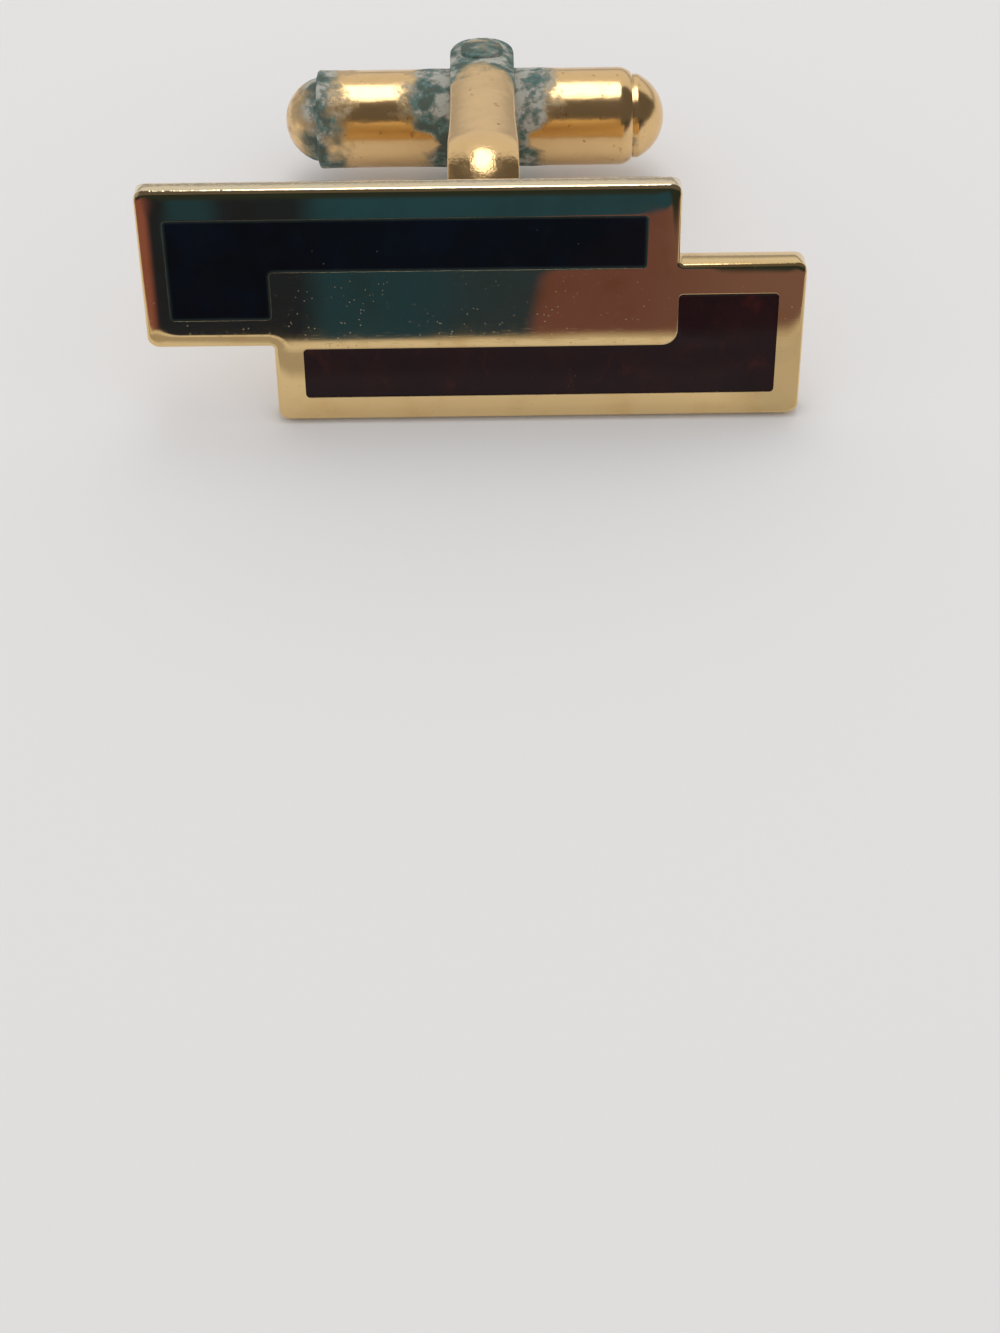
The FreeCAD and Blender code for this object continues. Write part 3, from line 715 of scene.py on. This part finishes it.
def makeSolder():
    bm = bmesh.new()
    foot, leg = yoke["footRadius"], yoke["solderLeg"]
    start = bm.verts.new((foot, footBack, 0))
    tip = lineTo(bm, start, (foot + leg, footBack, 0))
    tip = arcTo(bm, tip, (foot + leg, footBack + leg, 0), zAxis, -90, yoke["solderSteps"])
    bm.edges.new((tip, start))
    spinRound(bm, bm.verts[:] + bm.edges[:], yAxis, yoke["solderRound"])
    for vert in bm.verts:  # solder flows unevenly
        out = Vector((vert.co.x, 0, vert.co.z)).normalized()
        vert.co += out * yoke["solderFlow"] * noise.noise(vert.co * yoke["solderGrain"])
    addPiece("solderFillet", bm, pivotPlace, solderGrey, "link", "solder_fillet")


makeYoke()
makeSolder()


# Rivet

rivet = {
    "radius": 0.6, "headRadius": 0.9, "headSeat": 2.96, "headWall": 0.32, "headDome": 0.12,
    "shankSteps": 6, "headSteps": 3, "domeSteps": 10, "roundSteps": 56,
    "rimSoft": 0.1, "rimTurn": -65, "rimSteps": 5,
    "dent": 0.03, "dentGrain": 2.6,
    "crustThick": 0.04, "crustPatchy": 0.5, "crustBelow": 0.2,
    "crustMiddle": 0.80, "crustRim": 0.20, "crustBare": 0.45,  # rubbed bright towards the tip
}


def rivetCrust(spot):  # on the heads only
    if abs(spot.z) <= forkOutside - rivet["crustBelow"]:
        return 0
    out = math.hypot(spot.x, spot.y) / rivet["headRadius"]
    bare = max(spot.y, 0) / rivet["headRadius"]
    return rivet["crustMiddle"] + rivet["crustRim"] * out * out - rivet["crustBare"] * bare


def makeRivet():
    bm = bmesh.new()
    shank, head = rivet["radius"], rivet["headRadius"]
    seat, soft = rivet["headSeat"], rivet["rimSoft"]
    wall = seat + rivet["headWall"]
    apex = wall + rivet["headDome"]
    tip = bm.verts.new((shank, 0, 0))
    tip = lineTo(bm, tip, (shank, 0, seat), rivet["shankSteps"])
    tip = lineTo(bm, tip, (head, 0, seat), rivet["headSteps"])
    tip = lineTo(bm, tip, (head, 0, wall - soft), rivet["headSteps"])
    tip = arcTo(bm, tip, (head - soft, 0, wall - soft), yAxis, rivet["rimTurn"], rivet["rimSteps"])
    lineTo(bm, tip, (0, 0, apex), rivet["domeSteps"])
    half = bm.verts[:] + bm.edges[:]
    bmesh.ops.mirror(bm, geom=half, matrix=Matrix.Identity(4), merge_dist=weld, axis="Z")
    spinRound(bm, bm.verts[:] + bm.edges[:], zAxis, rivet["roundSteps"])
    bmesh.ops.recalc_face_normals(bm, faces=bm.faces)
    for vert in bm.verts:  # hammered heads
        if abs(vert.co.z) > wall - soft:
            dent = rivet["dent"] * (0.5 + 0.5 * noise.noise(vert.co * rivet["dentGrain"]))
            vert.co.z -= math.copysign(dent, vert.co.z)
    growCrust(bm, rivetCrust, rivet["crustThick"], rivet["crustPatchy"])
    addPiece("pivotRivet", bm, pivotPlace, rivetBrass, "link", "pivot_rivet")


makeRivet()


# Toggle

toggle = {
    "left": -7.2, "right": 6.5, "radius": 2.1, "wall": 0.4,
    "leftRim": 0.14, "leftRimSteps": 8,
    "shoulderWide": 0.56, "shoulderArc": 0.8, "shoulderSteps": 12,  # the right end falls towards its cap
    "alongSteps": 130, "roundSteps": 132, "boreStart": 0.05,
    "holeRadius": 0.68,
    "crustThick": 0.05, "crustDeep": 0.3,
    "crustFrom": 1.1,  # under the arm
    "leftCrust": [  # how far it reaches along the tube, by degrees up from the front
        (-180, 0.9), (-60, 1.4), (-20, 1.3), (-8, 0.8), (2, 0.8),
        (12, 1.7), (30, 2.3), (60, 2.3), (80, 1.9), (180, 0.9),
    ],
    "rightCrust": [
        (-180, 0.9), (-60, 1.4), (-20, 1.3), (-8, 0.8), (2, 0.7),
        (14, 1.5), (30, 1.8), (110, 1.8), (180, 0.9),
    ],
    "crustEnd": 0.5, "crustRise": 1.7, "crustMost": 0.95, "crustLeast": -0.3,
    "rimCrust": 1.02, "rimCrustReach": 1.6,
    "domeRadius": 1.80, "domeReach": 1.45, "domeSteps": 24,
    "plugLength": 1.5, "capSteps": 3, "capRound": 96, "capCrustShare": 0.6,
    "leftCap": {"way": -1, "neck": 0.0, "groove": 0.0, "crust": 0.9, "crustFade": 1.5},
    "rightCap": {"way": 1, "neck": 0.3, "groove": 0.08, "crust": 0.1, "crustFade": 1.1},
}
toggleBore = toggle["radius"] - toggle["wall"]


def tubeCrust(spot):  # beside the arm and on the left rim, none in the bore
    if spot.yz.length <= toggle["radius"] - toggle["crustDeep"]:
        return 0
    rise = math.degrees(math.atan2(spot.z, -spot.y))
    reach = between(toggle["leftCrust"] if spot.x < 0 else toggle["rightCrust"], rise)
    beside = 1 - max(abs(spot.x) - toggle["crustFrom"], 0) / reach
    beside = min(toggle["crustEnd"] + toggle["crustRise"] * beside, toggle["crustMost"])
    rim = toggle["rimCrust"] - max(spot.x - toggle["left"], 0) / toggle["rimCrustReach"]
    return max(beside, rim, toggle["crustLeast"])


def cutPivotHole(bm):  # through the wall, above and below
    radius = toggle["holeRadius"]

    def within(face):
        return face.calc_center_median().xy.length < radius

    bmesh.ops.delete(bm, geom=[face for face in bm.faces if within(face)], context="FACES")
    rims = [edge for edge in bm.edges if edge.is_boundary]
    for vert in {vert for edge in rims for vert in edge.verts}:
        away = Vector((vert.co.x, vert.co.y, 0)).normalized() * radius
        outer = vert.co.yz.length > toggle["radius"] - toggle["wall"] / 2
        shell = toggle["radius"] if outer else toggleBore
        vert.co = (away.x, away.y, math.copysign(math.sqrt(shell * shell - away.y * away.y), vert.co.z))
    for side in (1, -1):
        bmesh.ops.bridge_loops(bm, edges=[edge for edge in rims if edge.verts[0].co.z * side > 0])


def makeTube():
    bm = bmesh.new()
    left, right, radius = toggle["left"], toggle["right"], toggle["radius"]
    soft, wide, arc = toggle["leftRim"], toggle["shoulderWide"], toggle["shoulderArc"]
    sweep = math.degrees(math.asin(wide / arc))
    start = bm.verts.new((left, toggleBore, 0))
    tip = lineTo(bm, start, (left, radius - soft, 0))
    tip = arcTo(bm, tip, (left + soft, radius - soft, 0), zAxis, -90, toggle["leftRimSteps"])
    tip = lineTo(bm, tip, (right - wide, radius, 0), toggle["alongSteps"])
    tip = arcTo(bm, tip, (right - wide, radius - arc, 0), zAxis, -sweep, toggle["shoulderSteps"])
    tip = lineTo(bm, tip, (right, toggleBore, 0))
    tip = lineTo(bm, tip, (left + toggle["boreStart"], toggleBore, 0), toggle["alongSteps"])
    bm.edges.new((tip, start))
    spinRound(bm, bm.verts[:] + bm.edges[:], xAxis, toggle["roundSteps"])
    bmesh.ops.recalc_face_normals(bm, faces=bm.faces)
    cutPivotHole(bm)
    growCrust(bm, tubeCrust, toggle["crustThick"])
    addPiece("toggleTube", bm, pivotPlace, goldWorn, "toggle", "toggle_tube")


def makeEndCap(name, end, node):
    bm = bmesh.new()
    cap, rim = toggle[end + "Cap"], abs(toggle[end])
    seat, foot = rim + cap["groove"], rim - toggle["plugLength"]
    dome, apex = toggle["domeRadius"], rim + toggle["domeReach"]
    rise = toggle["domeReach"] - cap["neck"]
    domeArc = (dome * dome + rise * rise) / (2 * rise)
    sweep = math.degrees(math.asin(dome / domeArc))
    tip = bm.verts.new((apex, 0, 0))
    tip = arcTo(bm, tip, (apex - domeArc, 0, 0), zAxis, sweep, toggle["domeSteps"])
    if cap["neck"]:
        tip = lineTo(bm, tip, (seat, dome, 0), toggle["capSteps"])
    tip = lineTo(bm, tip, (seat, toggleBore, 0))
    tip = lineTo(bm, tip, (foot, toggleBore, 0), toggle["capSteps"])
    lineTo(bm, tip, (foot, 0, 0))
    if cap["way"] < 0:
        bmesh.ops.scale(bm, vec=(-1, 1, 1), verts=bm.verts)
    spinRound(bm, bm.verts[:] + bm.edges[:], xAxis, toggle["capRound"])
    bmesh.ops.recalc_face_normals(bm, faces=bm.faces)

    def capCrust(spot):  # less of it towards the dome's end
        return cap["crust"] - (abs(spot.x) - rim) / cap["crustFade"]

    growCrust(bm, capCrust, toggle["crustThick"] * toggle["capCrustShare"])
    addPiece(name, bm, pivotPlace, goldWorn, "toggle", node)


makeTube()
makeEndCap("leftEndCap", "left", "left_end_cap")
makeEndCap("rightEndCap", "right", "right_end_cap")
for node in ("front_leaf_spring", "rear_leaf_spring"):  # inside the tube, as the frame has them
    frame["nodes"][node].data.materials.clear()
    frame["nodes"][node].data.materials.append(springSteel)
print("toggle built")


# Floor, light and camera, in metres

floor = {"half": 1.5, "tone": rgb(0.80, 0.792, 0.794), "rough": 0.9}
lampBox = {
    "spot": (0.0, 0.036, 0.200), "aim": (0, 0.004, 0.004),
    "wide": 0.09, "deep": 0.16, "watts": 0.0933,
}
sky = {
    "tone": rgb(1.0, 0.99, 0.98), "high": 0.77, "low": 0.38, "range": (0.08, 0.22),
    "backdrop": 0.61,  # as the camera sees it, so that the far floor runs into it
}
room = {  # large glowing cards, seen only in the polish, that paint the reflection of a dim room; they lean over the viewer's place and stand on both sides
    "half": 0.30, "front": -0.28, "back": 0.14, "top": 0.45, "topFront": -0.03, "topHalf": 0.10,
    "tone": rgb(0.12, 0.108, 0.098), "leftTone": rgb(0.38, 0.355, 0.35), "leftRange": (0.12, 0.24),
}
paintedReflectionCard = {  # a small glowing card close by, seen only in the polish, that paints reflections; its bands are in millimetres
    "at": -0.0194, "half": 0.060, "top": 0.012,
    "rust": rgb(0.250, 0.105, 0.110), "black": rgb(0.016, 0.023, 0.047), "blackFrom": (-17.2, -14.0),
    "teal": rgb(0.018, 0.056, 0.118), "tealFrom": (-8.0, -6.4),
    "moss": rgb(0.025, 0.048, 0.092), "mossFrom": (-3.0, 1.0),
    "sea": rgb(0.019, 0.077, 0.170), "seaShare": 0.8, "upper": (3.5, 5.5),
    "patchFrom": (-13.8, -13.0), "patchTo": (-11.9, -10.7),  # of teal in the black, in the upper part
    "brown": rgb(0.150, 0.075, 0.090), "brownFrom": (1.9, 2.7),
    "slant": 0.2, "slantMore": [(3.0, 1.4), (5.5, 1.7)],  # the brown starts further right higher up
    "tan": rgb(0.190, 0.118, 0.135), "tanFrom": (6.0, 14.0),
    "olive": rgb(0.024, 0.038, 0.042), "oliveFrom": (8.0, 10.0),
    "oliveDrop": (9.2, 11.0, 0.0, 3.8),  # the lower panel shows it from lower down
    "foot": rgb(0.50, 0.47, 0.43), "footTall": (-8.0, 6.0, 0.08, 0.42), "footMore": (9.2, 11.0, 0.0, 0.28),
}
paintedShadowBand = {  # a painted shadow: a dim strip just above the floor before the plate, seen only in the polish, in millimetres where it fades
    "half": 0.060, "far": -0.0193, "near": -0.0094, "rise": 0.00005, "tone": rgb(0.34, 0.32, 0.31),
    "from": (-18.5, -17.7), "to": (-16.0, -14.0), "share": (-6.0, 10.0, 0.8, 0.55),
    "rightEnd": (9.5, 12.5, 0.0, 0.5),
}
viewer = {
    "lens": 66.51, "nearest": 0.001, "spot": (0.000452, -0.084298, 0.066711),
    "pitch": 47.290, "yaw": 0.296, "roll": -0.558,
}


def flatPiece(name, corners, material):
    bm = bmesh.new()
    bm.faces.new([bm.verts.new(corner) for corner in corners])
    mesh = bpy.data.meshes.new(name)
    bm.to_mesh(mesh)
    bm.free()
    mesh.materials.append(material)
    piece = bpy.data.objects.new(name, mesh)
    bpy.context.collection.objects.link(piece)
    return piece


def makeFloor():
    material, bench = newMaterial("paleFloor")
    bench.surface({"Base Color": floor["tone"], "Roughness": floor["rough"], "Specular IOR Level": 0.0})
    half = floor["half"]
    flatPiece("floor", [(-half, -half, 0), (half, -half, 0), (half, half, 0), (-half, half, 0)], material)


def makeCard(name, corners, material):  # a glowing card that is seen only in the polish, where it paints reflections
    card = flatPiece(name, corners, material)
    card.visible_camera = False
    card.visible_diffuse = False
    card.visible_transmission = False
    card.visible_shadow = False


def makePaintedReflectionCard():  # painted reflections: rust, black, teal and brown from left to right, olive above and the table's edge below
    card = paintedReflectionCard
    material, bench = newMaterial("paintedReflectionCard")
    place = bench.tableSpot()
    height = place.out("Z")
    upper = height.ramp(*card["upper"])
    patch = place.ramp(*card["patchFrom"]) * (1 - place.ramp(*card["patchTo"])) * upper
    slant = place - card["slant"] * height
    for start, more in card["slantMore"]:
        slant = slant - more * (height - start).most(0)
    tone = bench.mix(place.ramp(*card["blackFrom"]), card["rust"], card["black"])
    tone = bench.mix(patch, tone, card["teal"])
    teal = bench.mix(place.ramp(*card["mossFrom"]), card["teal"], card["moss"])
    teal = bench.mix(upper * card["seaShare"], teal, card["sea"])
    tone = bench.mix(place.ramp(*card["tealFrom"]), tone, teal)
    brown = bench.mix(place.ramp(*card["tanFrom"]), card["brown"], card["tan"])
    tone = bench.mix(slant.ramp(*card["brownFrom"]), tone, brown)
    edge = height + place.ramp(*card["oliveDrop"])
    tone = bench.mix(edge.ramp(*card["oliveFrom"]), tone, card["olive"])
    footTall = place.ramp(*card["footTall"]) + place.ramp(*card["footMore"])
    tone = bench.mix(height.ramp(0.0, footTall), card["foot"], tone)
    bench.finish(bench.glow(tone))
    half, at, top = card["half"], card["at"], card["top"]
    makeCard("paintedReflectionCard", [(-half, at, 0), (half, at, 0), (half, at, top), (-half, at, top)], material)


def makePaintedShadowBand():
    # painted shadow on the floor before the plate, seen only in the polish
    band = paintedShadowBand
    material, bench = newMaterial("paintedShadowBand")
    place = bench.tableSpot()
    ahead = place.out("Y")
    strip = ahead.ramp(*band["from"]) * (1 - ahead.ramp(*band["to"])) * place.ramp(*band["share"])
    cover = strip.most(place.ramp(*band["rightEnd"]))
    clear = bench.node("ShaderNodeBsdfTransparent")
    bench.finish(bench.node("ShaderNodeMixShader", None, {0: cover, 1: clear, 2: bench.glow(band["tone"])}))
    half, far, near, rise = band["half"], band["far"], band["near"], band["rise"]
    makeCard("paintedShadowBand", [(-half, far, rise), (half, far, rise), (half, near, rise), (-half, near, rise)], material)


def makeRoomCards():
    # painted reflections of a dim room; the left card is paler low down
    half, top, topHalf = room["half"], room["top"], room["topHalf"]
    foot, head, back = room["front"], room["topFront"], room["back"]
    dark, bench = newMaterial("darkReflectionCard")
    bench.finish(bench.glow(room["tone"]))
    dim, bench = newMaterial("dimReflectionCard")
    height = bench.split(bench.node("ShaderNodeTexCoord", output="Object")).out("Z")
    bench.finish(bench.glow(bench.mix(height.ramp(*room["leftRange"]), room["leftTone"], room["tone"])))
    makeCard("roomFront", [(-half, foot, 0), (half, foot, 0), (topHalf, head, top), (-topHalf, head, top)], dark)
    for name, side, material in (("roomLeft", -1, dim), ("roomRight", 1, dark)):
        x, topX = half * side, topHalf * side
        makeCard(name, [(x, foot, 0), (x, back, 0), (topX, back, top), (topX, head, top)], material)


def makeWorld():  # pale room, a little dimmer low down
    world = bpy.data.worlds.new("room")
    bpy.context.scene.world = world
    world.use_nodes = True
    bench = Bench(world.node_tree)
    way = bench.split(bench.node("ShaderNodeTexCoord", output="Generated"))
    level = way.out("Z").ramp(*sky["range"], sky["low"], sky["high"])
    seen = bench.node("ShaderNodeLightPath", output="Is Camera Ray")
    level = level * (1 - seen) + sky["backdrop"] * seen
    glow = bench.node("ShaderNodeBackground", None, {"Color": sky["tone"], "Strength": level})
    bench.node("ShaderNodeOutputWorld", None, {"Surface": glow})


def makeLamp():
    lamp = bpy.data.lights.new("softBox", "AREA")
    lamp.shape = "ELLIPSE"
    lamp.size = lampBox["wide"]
    lamp.size_y = lampBox["deep"]
    lamp.energy = lampBox["watts"]
    holder = bpy.data.objects.new("softBox", lamp)
    holder.location = lampBox["spot"]
    aim = Vector(lampBox["aim"]) - holder.location
    holder.rotation_euler = aim.to_track_quat("-Z", "Y").to_euler()
    bpy.context.collection.objects.link(holder)


def makeCamera():
    camera = bpy.data.cameras.new("camera")
    camera.lens = viewer["lens"]
    camera.clip_start = viewer["nearest"]
    holder = bpy.data.objects.new("camera", camera)
    turn = Matrix.Rotation(-math.radians(viewer["yaw"]), 4, "Z")
    nod = Matrix.Rotation(math.radians(90 - viewer["pitch"]), 4, "X")
    tilt = Matrix.Rotation(math.radians(viewer["roll"]), 4, "Z")
    holder.matrix_world = Matrix.Translation(viewer["spot"]) @ turn @ nod @ tilt
    bpy.context.collection.objects.link(holder)
    bpy.context.scene.camera = holder


makeFloor()
makePaintedReflectionCard()
makePaintedShadowBand()
makeRoomCards()
makeWorld()
makeLamp()
makeCamera()
bpy.context.scene.view_settings.view_transform = "Standard"
print("stage set")
